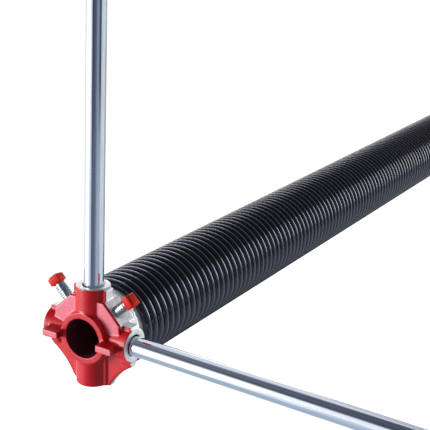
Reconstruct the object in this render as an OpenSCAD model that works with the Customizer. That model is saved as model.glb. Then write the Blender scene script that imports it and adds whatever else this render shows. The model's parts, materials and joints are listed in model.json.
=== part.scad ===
// Garage door torsion spring: a close-wound wire spring between a winding cone and a stationary cone.
// The torsion shaft runs along Y through both cones. The origin is the centre of the winding cone's
// bore at its front face, +Y runs into the spring, and +Z is up.

/* [Spring] */
// Diameter of the spring wire
wire_d = 6.35; // [5.5:0.05:6.7]
// Outside diameter of the coils
spring_od = 60; // [58:0.5:64]
// Length of the coils, which is made up to whole turns
coil_l = 678.4; // [134.4:6.4:768]
// Space between one turn and the next
turn_gap = 0.05; // [0.05:0.05:1]
// Clearance between the wire and the groove that it seats in
seat_gap = 0.1; // [0.05:0.05:0.3]

/* [Shaft] */
// Bore of both cones, for a one-inch torsion shaft
bore_d = 26; // [20:0.5:27]

/* [Winding cone] */
// Diameter of the hub ring
hub_d = 34.2; // [31:0.2:37]
// Length of the head, from its front face to the shoulder that stops the wire
head_l = 26.2; // [25:0.2:32]
// Diameter of the round flange
flange_d = 55; // [52:0.5:60]
// Thickness of the round flange
flange_t = 3.4; // [2:0.2:6]
// Chamfer round the flange's front edge
rim_chamfer = 1.2; // [0.4:0.1:1.8]
// Length of the shoulder behind the flange
shoulder_l = 2.2; // [1:0.2:4]
// Turns of wire that are screwed on to each cone
thread_turns = 5; // [3:1:7]
// Height of the groove's crests over the inside of the coils
crest_h = 1.5; // [0.8:0.1:2]
// Length of the tapered nose that leads into the coils
nose_l = 7; // [4:0.5:12]

/* [Bar sockets] */
// Hole for a winding bar
socket_d = 13.7; // [13:0.1:14.4]
// Outside diameter of a socket at its mouth
socket_od = 22; // [19:0.5:23]
// Outside diameter of a side socket at the bore, where it is slimmest
side_root_d = 16.9; // [16:0.1:19]
// Distance from the shaft's axis to the top and bottom mouths
socket_reach = 33.1; // [31:0.1:40]
// Distance from the shaft's axis to the side mouths
side_reach = 32.2; // [31:0.1:40]
// Metal between a socket's floor and the bore
socket_floor = 2.5; // [1.5:0.25:4]
// Distance from the front face to the sockets' axes
socket_y = 11.45; // [11:0.05:13]

/* [Webs, ribs and lugs] */
// Distance from the shaft's axis to the flat that carries a set screw
boss_reach = 27.2; // [25:0.2:30]
// Width of that flat
boss_w = 17.6; // [14:0.2:20]
// Distance from the front face to the upper webs
web_y = 4.3; // [2:0.1:6]
// Thickness of the lower webs
low_web_t = 4.9; // [3:0.1:7]
// Hollow of the lower webs' outer edges
low_web_sag = 1.8; // [0.5:0.1:4]
// Distance that the lower webs' corners stand outside the ribs
low_web_rise = 1.9; // [1:0.1:3]
// Width across the ribs beside a socket
rib_w = 25.2; // [24:0.2:30]
// Thickness of those ribs
rib_t = 7.7; // [5:0.1:9]
// Length of the ribs beside the top mouth
rib_l = 8.2; // [4:0.2:12]
// Length of the ribs beside the side mouths
side_rib_l = 6.2; // [4:0.2:12]
// Distance that the ribs and the lower webs stop short of a mouth
rib_back = 0.7; // [0.5:0.1:3]
// Length of a driving lug along its socket
lug_l = 12; // [8:0.5:15]
// Height of a driving lug
lug_h = 4.9; // [3:0.1:8]
// Distance that a lug stands in front of the front face
lug_out = 6.5; // [3:0.5:10]
// Distance from the shaft's axis to a lug's inner end
lug_x = 15; // [14:0.5:18]

/* [Set screws] */
// Thread diameter of a set screw
screw_d = 7.94; // [6:0.02:9.5]
// Width of the square head across its flats
head_w = 8.1; // [7:0.1:11]
// Height of the square head
head_h = 5.8; // [4:0.1:8]
// Length under the head
screw_l = 24.9; // [20:0.1:32]
// Distance from the right screw's point to the bore
point_gap = 0.1; // [0:0.05:1]
// Extra distance that the left screw is backed off
left_back_off = 0.75; // [0:0.05:2]
// Turn of the left screw's head out of line with the shaft, in degrees
left_turn = 14; // [0:1:45]

/* [Winding bars] */
// Diameter of a winding bar
bar_d = 12.7; // [11:0.1:12.8]
// Length of a winding bar
bar_l = 457.2; // [300:1:610]
// Chamfer at a bar's ends
bar_chamfer = 1; // [0.5:0.1:2]
// Lean of the upright bar in its loose socket, in degrees
upright_lean = 0.9; // [0:0.05:1.2]
// Droop of the side bar in its loose socket, in degrees
side_lean = 0.75; // [0:0.05:1.2]

/* [Stationary cone] */
// Diameter of the anchor flange
anchor_d = 62; // [60:1:70]
// Thickness of the anchor flange
anchor_t = 8; // [5:0.5:12]
// Distance between the two bolt holes
anchor_pitch = 84; // [80:1:100]
// Diameter of a bolt hole
bolt_hole_d = 10.3; // [8:0.1:11]
// Width of a bolt ear
ear_w = 24; // [20:1:28]

/* [Hidden] */
$fn = 96;

eps = 0.01;                                  // overrun of a cut past a face
wire_r = wire_d / 2;
pitch = 0.04 * ceil((wire_d + turn_gap) / 0.04 - 0.001);
turns = round(coil_l / pitch);
// Slope of one half turn of wire. Its cosine and sine are rounded, so that the ends of all the half
// turns meet exactly.
tilt_cos = round(1e6 * cos(atan(pitch / 2 / (spring_od - wire_d)))) / 1e6;
tilt_sin = round(1e7 * sqrt(1 - tilt_cos * tilt_cos)) / 1e7;
coil_r = pitch / 4 * tilt_cos / tilt_sin;    // from the shaft's axis to the wire's centre
inner_r = coil_r - wire_r;
crest_r = inner_r + crest_h;
first_y = head_l + wire_r + seat_gap;        // centre of the wire where it starts
last_y = first_y + turns * pitch;            // centre of the wire where it ends
thread_l = thread_turns * pitch + wire_r;    // grooved length of each cone
nose_r = inner_r - 2;                        // small end of a cone's nose
floor_r = bore_d / 2 + socket_floor;         // from the shaft's axis to a bar socket's floor
bar_play = (socket_d - bar_d) / 2 - 0.05;    // sideways play of a bar, short of touching the wall

// ---------------------------------------------------------------- helpers

// Turns what is drawn along +Z to lie along +Y.
module along_y() {
  rotate([-90, 0, 0]) children();
}

// Turns what is drawn along +Z to point away from the shaft at the given angle, measured from +X
// towards +Z, in the plane of the sockets.
module outward(angle) {
  translate([0, socket_y, 0]) rotate([0, 90 - angle, 0]) children();
}

// A disc or ring about the shaft's axis, between two distances from the front face.
module round_y(y0, y1, d) {
  translate([0, y0, 0]) along_y() cylinder(d = d, h = y1 - y0);
}

// An outline drawn in X and Z, given thickness between two distances from the front face.
module plate_y(y0, y1) {
  translate([0, y1, 0]) rotate([90, 0, 0]) linear_extrude(y1 - y0) children();
}

// Right-hand helix of round wire along +Y, made of true half turns of torus that tilt one way and
// then the other, so that each one runs smoothly into the next. It starts on the -X side.
module wire_helix(count, section_r) {
  arc_r = coil_r / tilt_cos;
  arc_mm = round(arc_r);
  along_y()
    for (half = [0 : 2 * count - 1])
      translate([0, 0, (half + 0.5) * pitch / 2])
        rotate([0, 0, 180 * (half + 1)])
          rotate([0, atan2(tilt_sin, tilt_cos), 0])
            rotate_extrude(angle = 180)
              translate([arc_mm, 0])
                translate([arc_r - arc_mm, 0])
                  circle(r = section_r, $fn = 32);
}

// The part of a cone that the coils are screwed on to: a plug with a tapered nose, drawn from its
// shoulder at y = 0 along +Y.
module coil_plug() {
  along_y()
    rotate_extrude()
      polygon([[0, -eps], [crest_r, -eps], [crest_r, thread_l], [nose_r, thread_l + nose_l],
               [0, thread_l + nose_l]]);
}

// ---------------------------------------------------------------- spring

module torsion_spring() {
  color("#17171a") translate([0, first_y, 0]) wire_helix(turns, wire_r);
}

// ---------------------------------------------------------------- winding cone

// Outer wall of the top or bottom bar socket, along the given angle.
module socket_wall(angle) {
  outward(angle) cylinder(d = socket_od, h = socket_reach);
}

// Outer wall of a side socket, which widens from the bore to its mouth.
module side_socket_wall(angle) {
  outward(angle)
    translate([0, 0, bore_d / 2])
      cylinder(d1 = side_root_d, d2 = socket_od, h = side_reach - bore_d / 2);
}

// The blind hole of one bar socket.
module socket_hole(angle) {
  outward(angle) translate([0, 0, floor_r]) cylinder(d = socket_d, h = max(socket_reach, side_reach));
}

// Upper web: a corner block between two sockets, cut off square to the set screw.
module screw_block(side) {
  half = boss_w / 2;
  reach = boss_reach;
  step = (reach - half) / sqrt(2);           // height where the flat meets the sockets' side
  top = (reach + half) / sqrt(2);
  plate_y(web_y, head_l - shoulder_l - flange_t + eps)
    mirror([side < 0 ? 1 : 0, 0])
      polygon([[0, 0], [top, 0], [top, step], [step, top], [0, top]]);
}

// Lower webs: one plate between the side sockets and the bottom socket, with hollow outer edges.
module low_webs() {
  half = rib_w / 2 + low_web_rise;           // where the hollow edge meets a mouth
  side_end = side_reach - rib_back;
  low_end = socket_reach - rib_back;
  chord = norm([side_end - half, low_end - half]);
  edge_r = (pow(chord / 2, 2) + pow(low_web_sag, 2)) / (2 * low_web_sag);
  away = (edge_r - low_web_sag) / chord;     // from the chord's middle to the arc's centre
  arc_x = (side_end + half) / 2 + away * (low_end - half);
  arc_z = (low_end + half) / 2 + away * (side_end - half);
  plate_y(socket_y - low_web_t / 2, socket_y + low_web_t / 2)
    difference() {
      polygon([[-side_end, 0], [-side_end, -half], [-half, -low_end], [half, -low_end],
               [side_end, -half], [side_end, 0]]);
      for (side = [-1, 1]) translate([side * arc_x, -arc_z]) circle(r = edge_r, $fn = 180);
    }
}

// Ribs on both sides of a socket, from just inside its mouth inwards.
module socket_ribs(angle, mouth_r, length) {
  outward(angle)
    translate([-rib_w / 2, -rib_t / 2, mouth_r - rib_back - length])
      cube([rib_w, rib_t, length]);
}

// Driving lug on the front of a side socket.
module lug(side) {
  translate([side > 0 ? lug_x : -lug_x - lug_l, -lug_out, -lug_h / 2])
    cube([lug_l, lug_out + socket_y, lug_h]);
}

module winding_cone() {
  flange_y = head_l - shoulder_l - flange_t;
  color("#c8202c")
    difference() {
      union() {
        round_y(0, flange_y + eps, hub_d);
        for (angle = [90, 270]) socket_wall(angle);
        for (angle = [0, 180]) {
          side_socket_wall(angle);
          socket_ribs(angle, side_reach, side_rib_l);
        }
        for (side = [-1, 1]) {
          screw_block(side);
          lug(side);
        }
        low_webs();
        socket_ribs(90, socket_reach, rib_l);
        socket_ribs(270, socket_reach, socket_reach - bore_d / 2);
        translate([0, flange_y, 0])
          along_y()
            rotate_extrude()
              polygon([[0, 0], [flange_d / 2 - rim_chamfer, 0], [flange_d / 2, rim_chamfer],
                       [flange_d / 2, flange_t], [0, flange_t]]);
        round_y(flange_y, head_l, 2 * crest_r);
        translate([0, head_l, 0]) coil_plug();
      }
      round_y(-eps, head_l + thread_l + nose_l + eps, bore_d);
      for (angle = [0, 90, 180, 270]) socket_hole(angle);
      for (angle = [45, 135]) outward(angle) cylinder(d = screw_d + 2 * eps, h = bore_d / 2 + screw_l);
      translate([0, first_y, 0]) wire_helix(thread_turns + 1, wire_r + seat_gap);
    }
}

// ---------------------------------------------------------------- set screws

// Square-head set screw, drawn point down with its head up +Z and the point at z = 0.
module set_screw(turn) {
  neck_l = 1.6;
  neck_d = screw_d - 1.6;
  chamfer = 1;
  dome_r = 1.4 * head_w;                     // radius of the head's rounded top
  union() {
    cylinder(d1 = screw_d - 2 * chamfer, d2 = screw_d, h = chamfer);
    translate([0, 0, chamfer]) cylinder(d = screw_d, h = screw_l - neck_l - chamfer);
    translate([0, 0, screw_l - neck_l - eps]) cylinder(d = neck_d, h = neck_l + 2 * eps);
    translate([0, 0, screw_l])
      rotate([0, 0, turn])
        intersection() {
          translate([-head_w / 2, -head_w / 2, 0]) cube([head_w, head_w, head_h]);
          translate([0, 0, head_h - dome_r]) sphere(r = dome_r);
        }
  }
}

module set_screw_left() {
  point_r = bore_d / 2 + point_gap + left_back_off;
  color("#d8331f") outward(135) translate([0, 0, point_r]) set_screw(left_turn);
}

module set_screw_right() {
  color("#d8331f") outward(45) translate([0, 0, bore_d / 2 + point_gap]) set_screw(0);
}

// ---------------------------------------------------------------- winding bars

// Plain round bar with chamfered ends, standing on the floor of the socket at the given angle. It
// rests against the mouth's edge and leans there, as far as the socket lets it.
module winding_bar(angle, mouth_r, lean) {
  tip_d = bar_d - 2 * bar_chamfer;
  depth = mouth_r - floor_r;
  tilt = min(lean, atan(2 * bar_play / depth));
  lift = bar_d / 2 * sin(tilt);              // keeps the tilted foot's edge off the floor
  outward(angle)
    translate([bar_play, 0, mouth_r])
      rotate([0, tilt, 0])
        translate([0, 0, lift - depth]) {
          cylinder(d1 = tip_d, d2 = bar_d, h = bar_chamfer);
          translate([0, 0, bar_chamfer]) cylinder(d = bar_d, h = bar_l - 2 * bar_chamfer);
          translate([0, 0, bar_l - bar_chamfer]) cylinder(d1 = bar_d, d2 = tip_d, h = bar_chamfer);
        }
}

module winding_bar_upright() {
  color("#b9bfc6") winding_bar(90, socket_reach, upright_lean);
}

module winding_bar_side() {
  color("#b9bfc6") winding_bar(0, side_reach, side_lean);
}

// ---------------------------------------------------------------- stationary cone

module stationary_cone() {
  shoulder_y = last_y + wire_r + seat_gap;
  flange_y = shoulder_y + shoulder_l;
  face_y = flange_y + anchor_t;
  plug_y = shoulder_y - thread_l - nose_l;
  color("#c8202c")
    difference() {
      union() {
        translate([0, shoulder_y, 0]) mirror([0, 1, 0]) coil_plug();
        round_y(shoulder_y, face_y, 2 * crest_r);
        round_y(flange_y, face_y, anchor_d);
        plate_y(flange_y, face_y)
          for (side = [-1, 1]) {
            translate([0, side * anchor_pitch / 2]) circle(d = ear_w);
            translate([0, side * anchor_pitch / 4]) square([ear_w, anchor_pitch / 2], center = true);
          }
      }
      round_y(plug_y - eps, face_y + eps, bore_d);
      for (side = [-1, 1])
        translate([0, 0, side * anchor_pitch / 2]) round_y(flange_y - eps, face_y + eps, bolt_hole_d);
      translate([0, last_y - (thread_turns + 1) * pitch, 0])
        wire_helix(thread_turns + 1, wire_r + seat_gap);
    }
}

torsion_spring();
winding_cone();
set_screw_left();
set_screw_right();
winding_bar_upright();
winding_bar_side();
stationary_cone();
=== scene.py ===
"""Dresses the garage door torsion spring: coils, cast cones, set screws and winding bars."""

import json
import math

import bpy
from bpy.props import FloatProperty, FloatVectorProperty, IntProperty, PointerProperty
from bpy.types import Operator, Panel, PropertyGroup
from mathutils import Euler, Matrix, Vector

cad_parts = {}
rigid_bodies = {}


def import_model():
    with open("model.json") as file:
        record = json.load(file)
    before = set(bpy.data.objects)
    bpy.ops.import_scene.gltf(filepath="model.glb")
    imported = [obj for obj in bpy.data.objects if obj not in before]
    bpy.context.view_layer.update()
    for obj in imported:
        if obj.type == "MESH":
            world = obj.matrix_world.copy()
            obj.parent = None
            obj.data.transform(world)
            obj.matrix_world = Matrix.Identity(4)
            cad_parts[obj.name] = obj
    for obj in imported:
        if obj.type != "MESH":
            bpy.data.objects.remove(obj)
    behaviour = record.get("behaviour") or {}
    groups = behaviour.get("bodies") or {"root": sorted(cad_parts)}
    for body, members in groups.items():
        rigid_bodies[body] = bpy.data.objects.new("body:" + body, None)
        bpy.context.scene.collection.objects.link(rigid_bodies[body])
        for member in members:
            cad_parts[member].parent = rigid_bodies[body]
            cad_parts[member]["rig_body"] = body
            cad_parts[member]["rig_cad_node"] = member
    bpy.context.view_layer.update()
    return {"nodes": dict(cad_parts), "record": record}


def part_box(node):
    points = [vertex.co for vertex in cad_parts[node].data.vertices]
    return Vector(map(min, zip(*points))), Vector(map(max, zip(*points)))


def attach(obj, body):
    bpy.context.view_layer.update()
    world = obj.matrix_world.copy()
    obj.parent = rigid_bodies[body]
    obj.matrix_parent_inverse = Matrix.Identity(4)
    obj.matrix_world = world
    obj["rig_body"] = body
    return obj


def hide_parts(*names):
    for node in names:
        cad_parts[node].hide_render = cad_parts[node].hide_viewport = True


bl_info = {
    "name": "Garage Door Torsion Spring",
    "version": (1, 0, 0),
    "blender": (4, 5, 0),
    "location": "View3D > Sidebar > Torsion Spring",
    "description": "Builds the looks of a torsion spring with its cones, set screws and bars",
    "category": "Object",
}

MM = 0.001
WELD = 0.001 * MM          # corners nearer than this are merged

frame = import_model()


# ---------------------------------------------------------------- places, read from the frame

def mount(name):
    """A named mount of the record."""
    return next(m for m in frame["record"]["mounts"] if m["name"] == name)


SPRING_LOW, SPRING_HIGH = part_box("torsion_spring")
CONE_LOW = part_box("winding_cone")[0]
ANCHOR_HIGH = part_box("stationary_cone")[1]
BORE_R = mount("shaft_bore")["dims"]["r_mm"] * MM
SOCKET_R = mount("socket_left")["dims"]["r_mm"] * MM
SOCKET_Y = mount("socket_left")["pos_m"][1]      # plane of the four bar sockets
MOUTH_R = -mount("socket_left")["pos_m"][0]      # from the shaft's axis to a side mouth
WEB_Y = 4.3 * MM                                 # front of the upper webs


# ---------------------------------------------------------------- sizes and colours

def linear(text):
    """Linear colour of an sRGB hex value."""
    parts = [int(text[i:i + 2], 16) / 255 for i in (1, 3, 5)]
    return [c / 12.92 if c <= 0.04045 else ((c + 0.055) / 1.055) ** 2.4 for c in parts]


def length(name, text, default_mm):
    """A length property, whose default is given in millimetres."""
    return FloatProperty(
        name=name, description=text, default=default_mm * MM, unit="LENGTH", precision=5
    )


def colour(name, text, value):
    """A colour property, whose default is an sRGB hex value."""
    return FloatVectorProperty(
        name=name, description=text, default=linear(value), subtype="COLOR", min=0, max=1, size=3
    )


class SpringSizes(PropertyGroup):
    """Sizes of the coils, screws and bars."""

    wire_d: length("Wire", "Diameter of the spring wire", 6.35)
    pitch: length("Pitch", "Distance from one turn of wire to the next", 6.4)
    turns: IntProperty(name="Turns", description="Full turns of wire", default=106, min=1)
    turn_steps: IntProperty(
        name="Steps", description="Steps in one turn of wire", default=48, min=12
    )
    wire_sides: IntProperty(
        name="Sides", description="Sides of the wire's section", default=16, min=8
    )
    cast_grid: length("Cast grid", "Grid that a casting's surface is rebuilt on", 0.52)
    anchor_grid: length("Anchor grid", "The same for the plain stationary cone", 0.6)
    screw_d: length("Screw", "Thread diameter of a set screw", 7.94)
    thread_pitch: length("Thread pitch", "Distance from one thread to the next", 1.5)
    head_w: length("Head width", "Width across the flats of a screw's square head", 8.1)
    head_h: length("Head height", "Height of a screw's square head", 5.8)
    bar_chamfer: length("Bar chamfer", "Chamfer at the ends of a winding bar", 1.0)


class SpringFinishes(PropertyGroup):
    """Colours of the finishes."""

    red: colour("Cone red", "Red enamel on the cones", "#CC1220")
    # A paler pink red for the front-facing flats: painted sheen, the light they mirror painted into
    # the red.
    thin_red: colour("Thin red", "The same enamel where the casting shows through it", "#E87688")
    head_red: colour("Screw red", "Orange-red enamel on the screw heads", "#D8240A")
    casting: colour("Bare casting", "Unpainted aluminium casting", "#F8F8F8")
    zinc: colour("Zinc", "Bright zinc plating of bars and screws", "#DDE2E8")
    wire_black: colour("Wire black", "Black enamel on the spring wire", "#050609")
    floor: colour("Floor", "Studio floor", "#F4F4F4")


def sizes():
    """The sizes that are set in the scene."""
    return bpy.context.scene.spring_sizes


def finishes():
    """The colours that are set in the scene."""
    return bpy.context.scene.spring_finishes


# ---------------------------------------------------------------- modelling helpers

def only(obj):
    """Selects one object, and nothing else, and makes it active."""
    bpy.ops.object.select_all(action="DESELECT")
    obj.select_set(True)
    bpy.context.view_layer.objects.active = obj
    return obj


def named(name):
    """Names the active object and its mesh."""
    obj = bpy.context.object
    obj.name = name
    obj.data.name = name
    return obj


def settle(obj):
    """Puts the object's place and turn into its mesh."""
    only(obj)
    bpy.ops.object.transform_apply(location=True, rotation=True, scale=True)
    return obj


def modify(obj, kind, **settings):
    """Adds a modifier and applies it."""
    only(obj)
    modifier = obj.modifiers.new(kind.title(), kind)
    for key, value in settings.items():
        setattr(modifier, key, value)
    bpy.ops.object.modifier_apply(modifier=modifier.name)
    return obj


def edit(obj, mode="FACE"):
    """Enters edit mode with nothing selected."""
    only(obj)
    bpy.ops.object.mode_set(mode="EDIT")
    bpy.ops.mesh.select_mode(type=mode)
    bpy.ops.mesh.select_all(action="DESELECT")


def object_mode():
    """Leaves edit mode."""
    bpy.ops.object.mode_set(mode="OBJECT")


def pick(obj, test, kind="polygons"):
    """Selects the faces, edges or vertices whose middle passes the test, and goes back to edit
    mode."""
    object_mode()
    mesh = obj.data
    corners = [v.co for v in mesh.vertices]
    for item in getattr(mesh, kind):
        if kind == "vertices":
            middle = item.co
        else:
            middle = sum((corners[i] for i in item.vertices), Vector()) / len(item.vertices)
        item.select = bool(test(middle, item))
    bpy.ops.object.mode_set(mode="EDIT")


def join(name, pieces):
    """Joins pieces into the first one."""
    bpy.ops.object.select_all(action="DESELECT")
    for piece in pieces:
        piece.select_set(True)
    bpy.context.view_layer.objects.active = pieces[0]
    bpy.ops.object.join()
    return named(name)


def smooth(obj, degrees=35):
    """Shades smooth, with sharp edges past the angle."""
    only(obj)
    bpy.ops.object.shade_smooth_by_angle(angle=math.radians(degrees))
    return obj


def draw_line(points):
    """A line of edges: a plane is merged to one corner, which is extruded from point to point."""
    bpy.ops.object.select_all(action="DESELECT")
    bpy.ops.mesh.primitive_plane_add(size=MM, location=points[0])
    bpy.ops.object.transform_apply(location=True, rotation=False, scale=False)
    bpy.ops.object.mode_set(mode="EDIT")
    bpy.ops.mesh.select_mode(type="VERT")
    bpy.ops.mesh.select_all(action="SELECT")
    bpy.ops.mesh.merge(type="CENTER")
    for a, b in zip(points, points[1:]):
        bpy.ops.mesh.extrude_vertices_move(TRANSFORM_OT_translate={"value": Vector(b) - Vector(a)})
    object_mode()
    return bpy.context.object


def close_holes(obj):
    """Fills every open end and turns the faces outwards."""
    edit(obj, "VERT")
    bpy.ops.mesh.select_all(action="SELECT")
    bpy.ops.mesh.remove_doubles(threshold=WELD)
    bpy.ops.mesh.fill_holes(sides=0)
    bpy.ops.mesh.normals_make_consistent(inside=False)
    object_mode()
    return obj


def paint(obj, *materials):
    """Gives an object its materials, in the order of their slots."""
    obj.data.materials.clear()
    for material in materials:
        obj.data.materials.append(material)


def stand_in(obj, node):
    """The piece takes the place of a CAD node."""
    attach(obj, "root")
    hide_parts(node)


# ---------------------------------------------------------------- material helpers

def new_material(name):
    """A material with a Principled shader: (material, node tree, shader)."""
    material = bpy.data.materials.new(name)
    material.use_nodes = True
    tree = material.node_tree
    shader = next(n for n in tree.nodes if n.type == "BSDF_PRINCIPLED")
    return material, tree, shader


def add(tree, kind, values=None, links=None, stops=None, **settings):
    """Adds a node, sets its settings, unlinked inputs and colour stops, and links its other inputs.
    A stop is (position, colour)."""
    node = tree.nodes.new(kind)
    for key, value in settings.items():
        setattr(node, key, value)
    for key, value in (values or {}).items():
        node.inputs[key].default_value = value
    for key, output in (links or {}).items():
        tree.links.new(output, node.inputs[key])
    if stops:
        elements = node.color_ramp.elements
        while len(elements) < len(stops):
            elements.new(0.5)
        for element, (position, value) in zip(elements, stops):
            element.position = position
            element.color = (*value, 1)
    return node


def connect(tree, shader, tint, rough, bump=None):
    """Links a finish's colour, roughness and bump to its shader."""
    tree.links.new(tint.outputs["Color"], shader.inputs["Base Color"])
    tree.links.new(rough.outputs["Result"], shader.inputs["Roughness"])
    if bump:
        tree.links.new(bump.outputs["Normal"], shader.inputs["Normal"])


def per_mm(size_mm):
    """Noise scale on Object coordinates for a pattern of that size."""
    return 1 / (size_mm * MM)


def scaled(value, factor):
    """A colour made darker or lighter by a factor."""
    return tuple(min(1, c * factor) for c in value)


# ---------------------------------------------------------------- materials

NOISE_SPAN = {"From Min": 0.3, "From Max": 0.7}           # most of a noise pattern's values
CAST_BUMP = {"Strength": 0.35, "Distance": 0.12 * MM}     # relief that the mould's sand leaves


def red_enamel(name, value, grain_mm=0.9, roughness=(0.28, 0.42), gloss=0.4):
    """Red enamel sprayed on a casting. Semi-gloss, with the cast skin's pimples showing through and
    a slightly deeper red where the coat is thick. The sand's real grain of about 0.3 mm is too fine
    to show, so it is drawn coarser."""
    material, tree, shader = new_material(name)
    place = add(tree, "ShaderNodeTexCoord").outputs["Object"]
    coat = add(tree, "ShaderNodeTexNoise", {"Scale": per_mm(1.3), "Detail": 4, "Roughness": 0.6},
               {"Vector": place})
    tint = add(tree, "ShaderNodeValToRGB", None, {"Fac": coat.outputs["Fac"]},
               [(0.36, scaled(value, 0.88)), (0.62, scaled(value, 1.07))])
    skin = add(tree, "ShaderNodeTexNoise",
               {"Scale": per_mm(grain_mm), "Detail": 4, "Roughness": 0.6}, {"Vector": place})
    rough = add(tree, "ShaderNodeMapRange",
                {**NOISE_SPAN, "To Min": roughness[0], "To Max": roughness[1]},
                {"Value": skin.outputs["Fac"]})
    bump = add(tree, "ShaderNodeBump", CAST_BUMP, {"Height": skin.outputs["Fac"]})
    shader.inputs["Specular IOR Level"].default_value = gloss
    connect(tree, shader, tint, rough, bump)
    return material


def bare_casting(value):
    """Sand-cast aluminium as it left the mould, tumbled and unpainted. Pale, matt and grainy, with
    a dull oxide that keeps it short of a full metal's shine. Its grain is drawn coarser than the
    sand's, which is too fine to show."""
    material, tree, shader = new_material("sand_cast_aluminium")
    place = add(tree, "ShaderNodeTexCoord").outputs["Object"]
    cloud = add(tree, "ShaderNodeTexNoise", {"Scale": per_mm(1.4), "Detail": 6, "Roughness": 0.65},
                {"Vector": place})
    tint = add(tree, "ShaderNodeValToRGB", None, {"Fac": cloud.outputs["Fac"]},
               [(0.32, scaled(value, 0.72)), (0.5, value)])
    sand = add(tree, "ShaderNodeTexNoise", {"Scale": per_mm(0.6), "Detail": 3}, {"Vector": place})
    rough = add(tree, "ShaderNodeMapRange", {**NOISE_SPAN, "To Min": 0.36, "To Max": 0.5},
                {"Value": sand.outputs["Fac"]})
    bump = add(tree, "ShaderNodeBump", CAST_BUMP, {"Height": sand.outputs["Fac"]})
    shader.inputs["Metallic"].default_value = 0.7
    connect(tree, shader, tint, rough, bump)
    return material


def painted_shade_bore():
    """As-cast bore and socket insides in a dark purple-red, which is painted shade of these deep
    holes.
    It takes the light down to near black."""
    material, tree, shader = new_material("greased_cast_bore")
    place = add(tree, "ShaderNodeTexCoord").outputs["Object"]
    smear = add(tree, "ShaderNodeTexNoise", {"Scale": per_mm(5), "Detail": 4}, {"Vector": place})
    tint = add(tree, "ShaderNodeValToRGB", None, {"Fac": smear.outputs["Fac"]},
               [(0.35, linear("#4A1A2C")), (0.7, linear("#64243C"))])
    rough = add(tree, "ShaderNodeMapRange", {"To Min": 0.45, "To Max": 0.65},
                {"Value": smear.outputs["Fac"]})
    connect(tree, shader, tint, rough)
    return material


def wire_enamel(value):
    """Oil-tempered spring wire, dipped in black enamel. Smooth and glossy, with the slight waves
    and specks that a dip leaves."""
    material, tree, shader = new_material("black_dipped_spring_wire")
    place = add(tree, "ShaderNodeTexCoord").outputs["Object"]
    film = add(tree, "ShaderNodeTexNoise", {"Scale": per_mm(9), "Detail": 4}, {"Vector": place})
    tint = add(tree, "ShaderNodeValToRGB", None, {"Fac": film.outputs["Fac"]},
               [(0.3, scaled(value, 0.7)), (0.7, scaled(value, 1.5))])
    speck = add(tree, "ShaderNodeTexNoise", {"Scale": per_mm(1.1), "Detail": 3}, {"Vector": place})
    rough = add(tree, "ShaderNodeMapRange", {**NOISE_SPAN, "To Min": 0.10, "To Max": 0.17},
                {"Value": speck.outputs["Fac"]})
    bump = add(tree, "ShaderNodeBump", {"Strength": 0.12, "Distance": 0.08 * MM},
               {"Height": speck.outputs["Fac"]})
    shader.inputs["IOR"].default_value = 1.7
    shader.inputs["Specular Tint"].default_value = (*linear("#E6E6FF"), 1)
    connect(tree, shader, tint, rough, bump)
    return material


def bright_zinc(name, value, along, streak_mm=0.7, roughness=(0.07, 0.13)):
    """Cold-drawn steel with bright zinc plating. A clear blue-white metal with soft streaks along
    the direction it was drawn in."""
    material, tree, shader = new_material(name)
    place = add(tree, "ShaderNodeTexCoord").outputs["Object"]
    stretch = [0.03 if axis == along else 1 for axis in "XYZ"]
    drawn = add(tree, "ShaderNodeMapping", {"Scale": stretch}, {"Vector": place})
    streak = add(tree, "ShaderNodeTexNoise", {"Scale": per_mm(streak_mm), "Detail": 4},
                 {"Vector": drawn.outputs["Vector"]})
    tint = add(tree, "ShaderNodeValToRGB", None, {"Fac": streak.outputs["Fac"]},
               [(0.3, scaled(value, 0.86)), (0.65, value)])
    rough = add(tree, "ShaderNodeMapRange",
                {**NOISE_SPAN, "To Min": roughness[0], "To Max": roughness[1]},
                {"Value": streak.outputs["Fac"]})
    shader.inputs["Metallic"].default_value = 1
    connect(tree, shader, tint, rough)
    return material


# ---------------------------------------------------------------- operators: the object

class SPRING_OT_finishes(Operator):
    """Makes the finishes that more than one piece shares."""

    bl_idname = "torsion_spring.finishes"
    bl_label = "Finishes"

    def execute(self, context):
        f = finishes()
        red_enamel("red_enamel_on_casting", tuple(f.red))
        # The paler red carries the painted sheen of the front-facing flats.
        red_enamel("thin_red_enamel_on_casting", tuple(f.thin_red))
        # The heads are dipped by hand: a thicker, flatter coat.
        red_enamel("orange_red_dipped_head", tuple(f.head_red), 1.6, (0.42, 0.55), 0.2)
        bare_casting(tuple(f.casting))
        painted_shade_bore()
        bright_zinc("winding_bar_upright_zinc", tuple(f.zinc), "Z")
        bright_zinc("winding_bar_side_zinc", tuple(f.zinc), "X")
        bright_zinc("zinc_plated_thread", scaled(f.zinc, 0.8), "Y", 1.5, (0.2, 0.34))
        # The roots of the threads are painted near black, a painted shade in the grooves, so that
        # they read as dark lines.
        bright_zinc("oiled_thread_root", scaled(f.zinc, 0.05), "Y", 1.5, (0.4, 0.5))
        return {"FINISHED"}


class SPRING_OT_coils(Operator):
    """Close-wound coils: the wire's round section is screwed round the shaft's axis."""

    bl_idname = "torsion_spring.coils"
    bl_label = "Spring Coils"

    def execute(self, context):
        s = sizes()
        wire_r = s.wire_d / 2
        coil_r = SPRING_HIGH.x - wire_r
        bpy.ops.object.select_all(action="DESELECT")
        bpy.ops.mesh.primitive_circle_add(
            vertices=s.wire_sides, radius=wire_r, location=(-coil_r, SPRING_LOW.y + wire_r, 0)
        )
        coils = settle(named("coils"))
        modify(coils, "SCREW", axis="Y", angle=math.tau, screw_offset=s.pitch, iterations=s.turns,
               steps=s.turn_steps, render_steps=s.turn_steps)
        close_holes(coils)
        smooth(coils, 40)
        paint(coils, wire_enamel(tuple(finishes().wire_black)))
        stand_in(coils, "torsion_spring")
        return {"FINISHED"}


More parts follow.
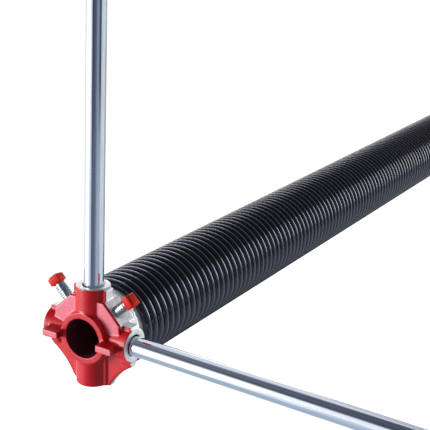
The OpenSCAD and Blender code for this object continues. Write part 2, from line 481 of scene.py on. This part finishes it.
SEAT_GAP = 0.1 * MM        # from the last turn of wire to a cone's shoulder
SKIN_END = 0.2 * MM        # the skin ends this far short of the shoulder
NEAR = 0.3 * MM            # a rebuilt skin stays this near to the plain shape
MOUTH_RING = 1.2 * MM      # depth of the bare metal at a socket's mouth
LUG_HALF_H = 2.9 * MM
LUG_INNER = 14 * MM        # a driving lug's ends, from the shaft's axis
LUG_OUTER = 28 * MM
LUG_BACK = 6 * MM          # a lug's root, in front of the sockets' axes
FRONTAL = -0.93            # normal.y of a face that looks to the front
# Cone finishes: red, bare, painted shade in the holes, and the paler red with painted sheen.
RED, BARE, HOLE_SHADE, PAINTED_SHEEN = range(4)
CONE_FINISHES = ("red_enamel_on_casting", "sand_cast_aluminium", "greased_cast_bore",
                 "thin_red_enamel_on_casting")


def cast_copy(name, node, grid, cut_y, keep_head):
    """A casting's skin: the node's shape, cut off where the coils hide it, rebuilt on a fine grid
    and smoothed, so that its edges and inner corners are rounded as a mould leaves them. The hidden
    plug is kept as it is."""
    parts = []
    for visible in (True, False):
        only(frame["nodes"][node])
        bpy.ops.object.duplicate()
        part = named(name + ("_skin" if visible else "_plug"))
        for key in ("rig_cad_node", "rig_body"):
            if key in part:
                del part[key]
        part.parent = None
        edit(part, "VERT")
        bpy.ops.mesh.select_all(action="SELECT")
        bpy.ops.mesh.remove_doubles(threshold=2 * WELD)
        bpy.ops.mesh.bisect(
            plane_co=(0, cut_y, 0), plane_no=(0, 1, 0), use_fill=True,
            clear_outer=keep_head == visible, clear_inner=keep_head != visible,
        )
        object_mode()
        if visible:
            modify(part, "REMESH", mode="VOXEL", voxel_size=grid, use_smooth_shade=True)
            modify(part, "SMOOTH", factor=0.5, iterations=5)
        parts.append(part)
    return parts


def in_bore(at):
    """Whether a point of a casting lies on its bore."""
    return math.hypot(at.x, at.z) < BORE_R + NEAR


class SPRING_OT_winding_cone(Operator):
    """Winding cone: the casting's skin, red in front and bare behind and on its mouths, with
    painted shade in its bore and sockets and painted sheen on its front flats.
    """

    bl_idname = "torsion_spring.winding_cone"
    bl_label = "Winding Cone"

    def finish_at(self, at, normal):
        """Finish of a point of the skin."""
        out = max(abs(at.x), abs(at.z))
        across = math.hypot(at.y - SOCKET_Y, min(abs(at.x), abs(at.z)))
        outward = abs(normal.x if abs(at.x) > abs(at.z) else normal.z)
        ring = MOUTH_R - MOUTH_RING
        on_lug = (abs(at.z) < LUG_HALF_H and LUG_INNER < abs(at.x) < LUG_OUTER
                  and at.y < SOCKET_Y - LUG_BACK)
        # The bore and the insides of the sockets take painted shade.
        if in_bore(at) and at.y > 0.4 * MM:
            return HOLE_SHADE
        if across < SOCKET_R + NEAR and BORE_R < out < ring and normal.y > -0.98:
            return HOLE_SHADE
        if out > ring and outward > 0.72:
            return BARE
        # Front-facing flats of the webs and the hub's front take the paler red: painted sheen.
        if abs(at.y - WEB_Y) < 0.25 * MM and normal.y < FRONTAL and not on_lug:
            return PAINTED_SHEEN
        if at.y < CONE_LOW.y + NEAR and normal.y < FRONTAL:
            return PAINTED_SHEEN
        # The spray comes from the front and reaches a little way round behind the webs.
        if at.y < WEB_Y + 1.6 * MM or on_lug or (normal.y < -0.2 and at.y < SOCKET_Y + 2 * MM):
            return RED
        return BARE

    def execute(self, context):
        cut_y = SPRING_LOW.y - SEAT_GAP - SKIN_END
        skin, plug = cast_copy(
            "winding_cone_casting", "winding_cone", sizes().cast_grid, cut_y, True
        )
        for part in (skin, plug):
            paint(part, *(bpy.data.materials[name] for name in CONE_FINISHES))
        for face in skin.data.polygons:
            face.material_index = self.finish_at(face.center, face.normal)
        # The plug's bore takes the painted shade too.
        for face in plug.data.polygons:
            face.material_index = HOLE_SHADE if in_bore(face.center) else BARE
        cone = join("winding_cone_casting", [skin, plug])
        smooth(cone, 50)
        stand_in(cone, "winding_cone")
        return {"FINISHED"}


class SPRING_OT_stationary_cone(Operator):
    """Stationary cone at the far end: the casting's skin, red but for its bolted face and bore."""

    bl_idname = "torsion_spring.stationary_cone"
    bl_label = "Stationary Cone"

    def execute(self, context):
        cut_y = SPRING_HIGH.y + SEAT_GAP + SKIN_END
        skin, plug = cast_copy(
            "stationary_cone_casting", "stationary_cone", sizes().anchor_grid, cut_y, False
        )
        for part in (skin, plug):
            paint(part, *(bpy.data.materials[name] for name in CONE_FINISHES[:HOLE_SHADE]))
        for face in skin.data.polygons:
            bare = face.center.y > ANCHOR_HIGH.y - NEAR or in_bore(face.center)
            face.material_index = BARE if bare else RED
        for face in plug.data.polygons:
            face.material_index = BARE
        cone = join("stationary_cone_casting", [skin, plug])
        smooth(cone, 50)
        stand_in(cone, "stationary_cone")
        return {"FINISHED"}


THREAD_STEPS = 32          # steps in one turn of a screw's thread
SHANK_SIDES = 48
NECK = 1.2 * MM            # plain neck between the head and the thread
COLLAR_H = 0.7 * MM        # round collar under the head
CROWN_DROP = 1.1 * MM      # drop from the crown's flat to the head's edges


class SPRING_OT_set_screws(Operator):
    """Two square-head set screws with rolled threads. The head is dipped in orange-red enamel."""

    bl_idname = "torsion_spring.set_screws"
    bl_label = "Set Screws"

    def thread(self, name, base, root):
        """Rolled thread, whose tooth is drawn once and screwed up the shank."""
        s = sizes()
        pitch, crest = s.thread_pitch, s.screw_d / 2
        count = int((base - NECK - pitch) / pitch)
        start = base - NECK - (count + 1) * pitch
        tooth = [(root, 0), (root, 0.3 * pitch), (crest, 0.55 * pitch), (crest, 0.75 * pitch),
                 (root, pitch)]
        thread = draw_line([(x, 0, start + z) for x, z in tooth])
        named(name)
        modify(thread, "SCREW", axis="Z", angle=math.tau, screw_offset=pitch, iterations=count,
               steps=THREAD_STEPS, render_steps=THREAD_STEPS, use_merge_vertices=True,
               merge_threshold=2 * WELD)
        close_holes(thread)
        smooth(thread, 25)
        paint(thread, bpy.data.materials["zinc_plated_thread"],
              bpy.data.materials["oiled_thread_root"])
        # Faces at the thread's root take the painted shade.
        for face in thread.data.polygons:
            if face.center.xy.length < root + 0.1 * MM:
                face.material_index = 1
        return thread

    def shank(self, name, base, root):
        """Core of the thread, with a chamfered point."""
        bpy.ops.object.select_all(action="DESELECT")
        bpy.ops.mesh.primitive_cylinder_add(
            vertices=SHANK_SIDES, radius=root + 0.15 * MM, depth=base, location=(0, 0, base / 2)
        )
        shank = settle(named(name))

        def round_point(at, edge):
            a, b = (shank.data.vertices[i].co.z for i in edge.vertices)
            return at.z < MM and abs(a - b) < MM

        edit(shank, "EDGE")
        pick(shank, round_point, "edges")
        bpy.ops.mesh.bevel(offset=0.9 * MM, segments=1)
        object_mode()
        smooth(shank, 30)
        paint(shank, bpy.data.materials["zinc_plated_thread"])
        return shank

    def collar(self, name, base):
        """Round collar under the head."""
        bpy.ops.object.select_all(action="DESELECT")
        bpy.ops.mesh.primitive_cylinder_add(
            vertices=SHANK_SIDES, radius=0.47 * sizes().head_w, depth=COLLAR_H,
            location=(0, 0, base - 0.2 * MM),
        )
        collar = settle(named(name))
        modify(collar, "BEVEL", width=0.25 * MM, segments=2)
        smooth(collar, 40)
        paint(collar, bpy.data.materials["orange_red_dipped_head"])
        return collar

    def head(self, name, base, turn):
        """Square head with a crowned top."""
        s = sizes()
        top = base + 0.9 * s.head_h
        bpy.ops.object.select_all(action="DESELECT")
        bpy.ops.mesh.primitive_cube_add(
            size=1, location=(0, 0, base + s.head_h / 2), scale=(s.head_w, s.head_w, s.head_h),
            rotation=(0, 0, math.radians(turn)),
        )
        head = settle(named(name))
        edit(head, "FACE")
        pick(head, lambda at, face: at.z > top)
        bpy.ops.mesh.inset(thickness=0.17 * s.head_w)
        object_mode()
        edit(head, "VERT")
        pick(head, lambda at, corner: at.z > top and at.xy.length > 0.5 * s.head_w, "vertices")
        bpy.ops.transform.translate(value=(0, 0, -CROWN_DROP))
        object_mode()
        modify(head, "BEVEL", width=0.5 * MM, segments=3, limit_method="ANGLE",
               angle_limit=math.radians(12))
        smooth(head, 30)
        paint(head, bpy.data.materials["orange_red_dipped_head"])
        return head

    def build(self, node, angle, turn):
        """Makes one screw at the origin, then stands it where its node is."""
        s = sizes()
        way = Vector((math.cos(math.radians(angle)), 0, math.sin(math.radians(angle))))
        corners = [v.co - Vector((0, SOCKET_Y, 0)) for v in frame["nodes"][node].data.vertices]
        point_r = min(c.dot(way) for c in corners)
        top_r = max(c.dot(way) for c in corners)
        base = top_r - point_r - s.head_h
        root = s.screw_d / 2 - 0.6 * s.thread_pitch
        thread = self.thread(node + "_thread", base, root)
        shank = self.shank(node + "_shank", base, root)
        collar = self.collar(node + "_collar", base)
        head = self.head(node + "_head", base, turn)
        screw = join(node + "_piece", [head, collar, shank, thread])
        screw.matrix_world = (
            Matrix.Translation((0, SOCKET_Y, 0))
            @ Euler((0, math.radians(90 - angle), 0)).to_matrix().to_4x4()
            @ Matrix.Translation((0, 0, point_r))
        )
        settle(screw)
        stand_in(screw, node)

    def execute(self, context):
        self.build("set_screw_left", 135, 14)
        self.build("set_screw_right", 45, 0)
        return {"FINISHED"}


class SPRING_OT_winding_bars(Operator):
    """Two winding bars: round cold-drawn steel with chamfered ends."""

    bl_idname = "torsion_spring.winding_bars"
    bl_label = "Winding Bars"

    def end(self, corners, axis, pick_end):
        """Middle of the round face at one end of a bar that runs nearly along an axis."""
        edge = pick_end(c[axis] for c in corners)
        face = [c for c in corners if abs(c[axis] - edge) < 0.4 * MM]
        return Vector([(min(c[i] for c in face) + max(c[i] for c in face)) / 2 for i in range(3)])

    def build(self, node, axis):
        """Makes one bar between the middles of its node's ends."""
        corners = [Vector(v.co) for v in frame["nodes"][node].data.vertices]
        low, high = (self.end(corners, axis, pick_end) for pick_end in (min, max))
        box_low, box_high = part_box(node)
        radius = (box_high.y - box_low.y) / 2
        bpy.ops.object.select_all(action="DESELECT")
        bpy.ops.mesh.primitive_cylinder_add(
            vertices=96, radius=radius, depth=(high - low).length, location=(low + high) / 2,
            rotation=Vector((0, 0, 1)).rotation_difference(high - low).to_euler(),
        )
        bar = settle(named(node + "_piece"))
        edit(bar, "FACE")
        pick(bar, lambda at, face: min((at - low).length, (at - high).length) < 0.5 * MM)
        bpy.ops.mesh.select_mode(type="EDGE")
        bpy.ops.mesh.bevel(offset=sizes().bar_chamfer, segments=2, affect="EDGES")
        object_mode()
        smooth(bar, 12)   # less than the chamfer's steps, which would tilt the long faces' normals
        paint(bar, bpy.data.materials[node + "_zinc"])
        stand_in(bar, node)

    def execute(self, context):
        self.build("winding_bar_upright", 2)
        self.build("winding_bar_side", 0)
        return {"FINISHED"}


# ---------------------------------------------------------------- operator: the stage

# Camera: place in millimetres, and turn about Z, about the level, and about its own view.
CAMERA_AT = Vector((366.5, -456.6, 277.7)) * MM
CAMERA_TURN = math.radians(30.896)
CAMERA_DIP = math.radians(18.437)
CAMERA_ROLL = math.radians(2.021)
CAMERA_LENS = 85.73

# Floor: size and height in metres, and how white it is for the camera.
FLOOR_SIZE = 40
FLOOR_Z = -0.7
FLOOR_GLOW = 0.9

# Lamps: degrees round from the front, degrees above the level, strength and spread in degrees.
LAMPS = {
    "key_light": (-43, 0, 3.5, 34),
    "back_light": (160, 5, 0.7, 24),
    "rim_light": (-147, 5, 0.35, 26),
    "side_fill": (134, 0, 1.6, 40),
}
NOT_IN_GLOSS = "side_fill"

# Strength of the world: what lights matt surfaces, what gloss mirrors, and what the camera sees.
WORLD_MATT = 0.13
WORLD_GLOSS = 1.5
WORLD_CAMERA = 1.0

# Tone of the room by the direction round the upright, in degrees from the front towards +X, at four
# heights: level, a little below it, above and below. Overhead has one tone.
ROOM = [
    (-180, (0.38, 0.38, 0.39)),
    (-150, (0.60, 0.59, 0.59)),
    (-110, (0.75, 0.76, 0.77)),
    (-84, (0.62, 0.64, 0.68)),
    (-74, (1.0, 1.0, 1.0)),
    (-28, (1.0, 1.0, 1.0)),
    (-20, (0.72, 0.75, 0.79)),
    (-11, (0.74, 0.77, 0.82)),
    (2, (0.03, 0.04, 0.08)),
    (30, (0.07, 0.08, 0.12)),
    (44, (0.12, 0.13, 0.19)),
    (54, (0.20, 0.23, 0.31)),
    (68, (0.20, 0.23, 0.31)),
    (77, (0.05, 0.06, 0.08)),
    (93, (0.06, 0.07, 0.09)),
    (102, (0.48, 0.53, 0.55)),
    (148, (0.58, 0.62, 0.64)),
    (158, (0.28, 0.29, 0.32)),
    (180, (0.38, 0.38, 0.39)),
]
ROOM_LOW = [
    (-180, (0.46, 0.48, 0.52)),
    (-153, (0.60, 0.61, 0.64)),
    (-131, (0.78, 0.78, 0.82)),
    (-84, (0.66, 0.68, 0.76)),
    (-74, (1.0, 1.0, 1.0)),
    (-32, (1.0, 1.0, 1.0)),
    (-23, (0.56, 0.62, 0.72)),
    (-8, (0.52, 0.57, 0.68)),
    (4, (0.08, 0.10, 0.15)),
    (42, (0.11, 0.13, 0.18)),
    (60, (0.27, 0.32, 0.41)),
    (88, (0.36, 0.42, 0.48)),
    (104, (0.50, 0.55, 0.60)),
    (140, (0.55, 0.60, 0.66)),
    (158, (0.31, 0.34, 0.39)),
    (180, (0.46, 0.48, 0.52)),
]
ROOM_ABOVE = [
    (-180, (0.08, 0.08, 0.09)),
    (-166, (0.20, 0.20, 0.22)),
    (-152, (0.60, 0.64, 0.72)),
    (-130, (0.60, 0.64, 0.72)),
    (-108, (0.52, 0.56, 0.62)),
    (-78, (0.17, 0.19, 0.24)),
    (-43, (0.10, 0.11, 0.15)),
    (-34, (0.06, 0.07, 0.10)),
    (20, (0.04, 0.05, 0.07)),
    (110, (0.08, 0.09, 0.11)),
    (180, (0.08, 0.08, 0.09)),
]
ROOM_BELOW = [
    (-180, (0.02, 0.02, 0.03)),
    (-161, (0.03, 0.03, 0.04)),
    (-152, (0.62, 0.66, 0.70)),
    (-125, (0.50, 0.56, 0.62)),
    (-90, (0.32, 0.38, 0.46)),
    (-40, (0.33, 0.40, 0.49)),
    (-20, (0.40, 0.46, 0.56)),
    (60, (0.30, 0.34, 0.40)),
    (120, (0.46, 0.50, 0.54)),
    (154, (0.46, 0.50, 0.54)),
    (164, (0.03, 0.03, 0.04)),
    (180, (0.02, 0.02, 0.03)),
]
OVERHEAD = (0.07, 0.08, 0.11)

# Where the level gives way to the other heights, as the sine of the height: from and to.
LOW_BLEND = (-0.22, -0.30)
BELOW_BLEND = (-0.44, -0.60)
ABOVE_BLEND = (0.38, 0.60)
OVERHEAD_BLEND = (0.84, 0.93)


class SPRING_OT_stage(Operator):
    """Floor, plain soft studio light and camera."""

    bl_idname = "torsion_spring.stage"
    bl_label = "Stage"

    def floor(self):
        bpy.ops.object.select_all(action="DESELECT")
        bpy.ops.mesh.primitive_plane_add(size=FLOOR_SIZE, location=(0, 0, FLOOR_Z))
        floor = named("studio_floor")
        material, tree, shader = new_material("matt_white_floor")
        shader.inputs["Base Color"].default_value = (*finishes().floor, 1)
        shader.inputs["Roughness"].default_value = 0.9
        seen = add(tree, "ShaderNodeLightPath").outputs["Is Camera Ray"]
        glow = add(tree, "ShaderNodeMath", {1: FLOOR_GLOW}, {0: seen}, operation="MULTIPLY")
        shader.inputs["Emission Color"].default_value = (1, 1, 1, 1)
        tree.links.new(glow.outputs[0], shader.inputs["Emission Strength"])
        paint(floor, material)
        # The lamps stand near the level, and the lower half of their soft discs shines from below
        # it, so the floor lets them pass.
        floor.visible_glossy = False
        floor.visible_shadow = False

    def room(self, tree):
        """Colour of the room that metal mirrors: broad bands round the upright, white to the front
        left, dark to the front right and grey behind."""
        way = add(tree, "ShaderNodeTexCoord").outputs["Generated"]
        parts = add(tree, "ShaderNodeSeparateXYZ", links={"Vector": way})
        front = add(tree, "ShaderNodeMath", {1: -1}, {0: parts.outputs["Y"]}, operation="MULTIPLY")
        around = add(tree, "ShaderNodeMath", None, {0: parts.outputs["X"], 1: front.outputs[0]},
                     operation="ARCTAN2")
        share = add(tree, "ShaderNodeMapRange", {"From Min": -math.pi, "From Max": math.pi},
                    {"Value": around.outputs[0]})
        room, low_down, above, below = (
            add(tree, "ShaderNodeValToRGB", None, {"Fac": share.outputs["Result"]},
                [((turn + 180) / 360, tone) for turn, tone in tones]).outputs["Color"]
            for tones in (ROOM, ROOM_LOW, ROOM_ABOVE, ROOM_BELOW)
        )
        for (low, high), values, links in (
            (LOW_BLEND, {}, {7: low_down}), (BELOW_BLEND, {}, {7: below}),
            (ABOVE_BLEND, {}, {7: above}), (OVERHEAD_BLEND, {7: (*OVERHEAD, 1)}, {}),
        ):
            share = add(tree, "ShaderNodeMapRange", {"From Min": low, "From Max": high},
                        {"Value": parts.outputs["Z"]})
            links |= {0: share.outputs["Result"], 6: room}
            room = add(tree, "ShaderNodeMix", values, links, data_type="RGBA").outputs[2]
        return room

    def world(self):
        world = bpy.data.worlds.new("studio")
        bpy.context.scene.world = world
        world.use_nodes = True
        tree = world.node_tree
        tree.nodes.clear()
        path = add(tree, "ShaderNodeLightPath")
        matt = add(tree, "ShaderNodeBackground", {"Color": (1, 1, 1, 1), "Strength": WORLD_MATT})
        gloss = add(tree, "ShaderNodeBackground", {"Strength": WORLD_GLOSS},
                    {"Color": self.room(tree)})
        white = add(tree, "ShaderNodeBackground", {"Color": (1, 1, 1, 1), "Strength": WORLD_CAMERA})
        seen = matt
        for ray, shown in (("Glossy", gloss), ("Camera", white), ("Transmission", white)):
            seen = add(tree, "ShaderNodeMixShader", None,
                       {0: path.outputs[f"Is {ray} Ray"], 1: seen.outputs[0], 2: shown.outputs[0]})
        add(tree, "ShaderNodeOutputWorld", None, {"Surface": seen.outputs[0]})

    def lamp(self, name, turn, height, strength, spread):
        """A soft light from far off in a direction."""
        t, h = math.radians(turn), math.radians(height)
        back = Vector((math.sin(t) * math.cos(h), -math.cos(t) * math.cos(h), math.sin(h)))
        bpy.ops.object.light_add(type="SUN", location=back * 2)
        lamp = bpy.context.object
        lamp.name = name
        lamp.rotation_euler = (-back).to_track_quat("-Z", "Y").to_euler()
        lamp.data.energy = strength
        lamp.data.angle = math.radians(spread)
        lamp.visible_glossy = name != NOT_IN_GLOSS

    def camera(self):
        bpy.ops.object.camera_add(location=CAMERA_AT)
        camera = bpy.context.object
        forward = Vector((-math.sin(CAMERA_TURN) * math.cos(CAMERA_DIP),
                          math.cos(CAMERA_TURN) * math.cos(CAMERA_DIP), -math.sin(CAMERA_DIP)))
        right = Vector((math.cos(CAMERA_TURN), math.sin(CAMERA_TURN), 0))
        up = right.cross(forward)
        across = right * math.cos(CAMERA_ROLL) + up * math.sin(CAMERA_ROLL)
        upright = -right * math.sin(CAMERA_ROLL) + up * math.cos(CAMERA_ROLL)
        turn = Matrix((across, upright, -forward)).transposed()
        camera.rotation_euler = turn.to_euler()
        camera.data.sensor_width = 36
        camera.data.lens = CAMERA_LENS
        camera.data.clip_start = 0.01
        camera.data.clip_end = 100
        bpy.context.scene.camera = camera

    def execute(self, context):
        self.floor()
        self.world()
        for name, (turn, height, strength, spread) in LAMPS.items():
            self.lamp(name, turn, height, strength, spread)
        self.camera()
        context.scene.view_settings.view_transform = "Standard"
        return {"FINISHED"}


# ---------------------------------------------------------------- add-on

class SPRING_PT_panel(Panel):
    """Lists the steps in the sidebar."""

    bl_idname = "SPRING_PT_panel"
    bl_label = "Torsion Spring"
    bl_space_type = "VIEW_3D"
    bl_region_type = "UI"
    bl_category = "Torsion Spring"

    def draw(self, context):
        for group in (context.scene.spring_sizes, context.scene.spring_finishes):
            box = self.layout.box()
            for key in group.__annotations__:
                box.prop(group, key)
        for step in STEPS:
            self.layout.operator(step.bl_idname)


STEPS = (
    SPRING_OT_finishes,
    SPRING_OT_coils,
    SPRING_OT_winding_cone,
    SPRING_OT_stationary_cone,
    SPRING_OT_set_screws,
    SPRING_OT_winding_bars,
    SPRING_OT_stage,
)
CLASSES = (SpringSizes, SpringFinishes, *STEPS, SPRING_PT_panel)


def register():
    for cls in CLASSES:
        bpy.utils.register_class(cls)
    bpy.types.Scene.spring_sizes = PointerProperty(type=SpringSizes)
    bpy.types.Scene.spring_finishes = PointerProperty(type=SpringFinishes)


def unregister():
    del bpy.types.Scene.spring_finishes
    del bpy.types.Scene.spring_sizes
    for cls in reversed(CLASSES):
        bpy.utils.unregister_class(cls)


def main():
    """Runs every step in order."""
    register()
    for step in STEPS:
        group, name = step.bl_idname.split(".")
        getattr(getattr(bpy.ops, group), name)()


if __name__ == "__main__":
    main()
